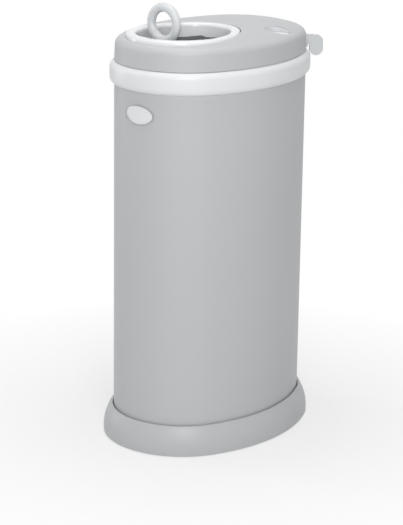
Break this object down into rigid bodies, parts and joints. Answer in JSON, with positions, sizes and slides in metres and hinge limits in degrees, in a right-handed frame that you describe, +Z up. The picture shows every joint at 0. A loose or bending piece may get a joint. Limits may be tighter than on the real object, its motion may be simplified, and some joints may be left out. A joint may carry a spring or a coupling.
{
  "type": "nappy bin",
  "caption": "Tall oval nappy bin with a flared base, hinged lid, egg-shaped chute with a sliding door and loop handle, and a child-lock button.",
  "frame": {"origin": "centre of the underside, on the floor", "axes": "+Z up; -Y is the front, where the badge and the chute's loop handle are; X runs across the short side, with the hinge at -X; Y is the long side"},
  "size_m": [0.2144, 0.2884, 0.532],
  "materials": {
    "base_grey": "fine satin moulded plastic",
    "shell_grey": "satin powder-coated steel",
    "band_white": "satin moulded plastic",
    "lid_grey": "satin moulded plastic",
    "rim_white": "semi-gloss moulded plastic",
    "inner_white": "plain moulded plastic",
    "inner_grey": "plain moulded plastic",
    "door_dark": "dark moulded plastic",
    "loop_white": "milky semi-translucent plastic",
    "button_white": "gloss moulded plastic",
    "tab_clear": "milky translucent plastic",
    "rubber_dark": "matte rubber",
    "seal_light": "matte light grey silicone",
    "bare_steel": "plain steel",
    "zinc_steel": "zinc-plated steel"
  },
  "bodies": {
    "pail": {"base_plinth": "base_grey", "foot_pads": "rubber_dark", "floor_pan": "inner_grey", "base_screws": "zinc_steel", "body_shell": "shell_grey", "rim_band": "band_white", "band_rivets": "zinc_steel", "badge_plate": "band_white", "hinge_pin": "bare_steel"},
    "bag_ring": {"bag_ring": "inner_white"},
    "lid": {"lid_shell": "lid_grey", "lid_tray": "inner_grey", "lid_seal": "rubber_dark", "lid_screws": "zinc_steel", "chute_rim": "rim_white", "rim_screws": "zinc_steel", "throat_seal": "rubber_dark", "seal_band": "seal_light", "rail_left": "inner_white", "rail_right": "inner_white", "rail_screws": "zinc_steel", "lock_bezel": "inner_white", "lock_spring": "bare_steel", "lift_tab": "tab_clear", "tab_rivets": "zinc_steel"},
    "door": {"door_plate": "door_dark", "door_runners": "inner_white", "runner_screws": "zinc_steel", "loop_handle": "loop_white", "handle_screws": "zinc_steel"},
    "lock": {"lock_button": "button_white", "lock_bar": "inner_white"}
  },
  "joints": [
    {"name": "ring_hinge", "type": "hinge", "parent": "pail", "child": "bag_ring", "pos_m": [-0.0995, 0, 0.4654], "axis": [0, -1, 0], "range_deg": [0, 80]},
    {"name": "lid_hinge", "type": "hinge", "parent": "bag_ring", "child": "lid", "pos_m": [-0.0995, 0, 0.4654], "axis": [0, -1, 0], "range_deg": [0, 90]},
    {"name": "door_slide", "type": "slide", "parent": "lid", "child": "door", "axis": [0, 1, 0], "range_m": [0, 0.084]},
    {"name": "lock_slide", "type": "slide", "parent": "lid", "child": "lock", "axis": [-1, 0, 0], "range_m": [0, 0.004]}
  ]
}
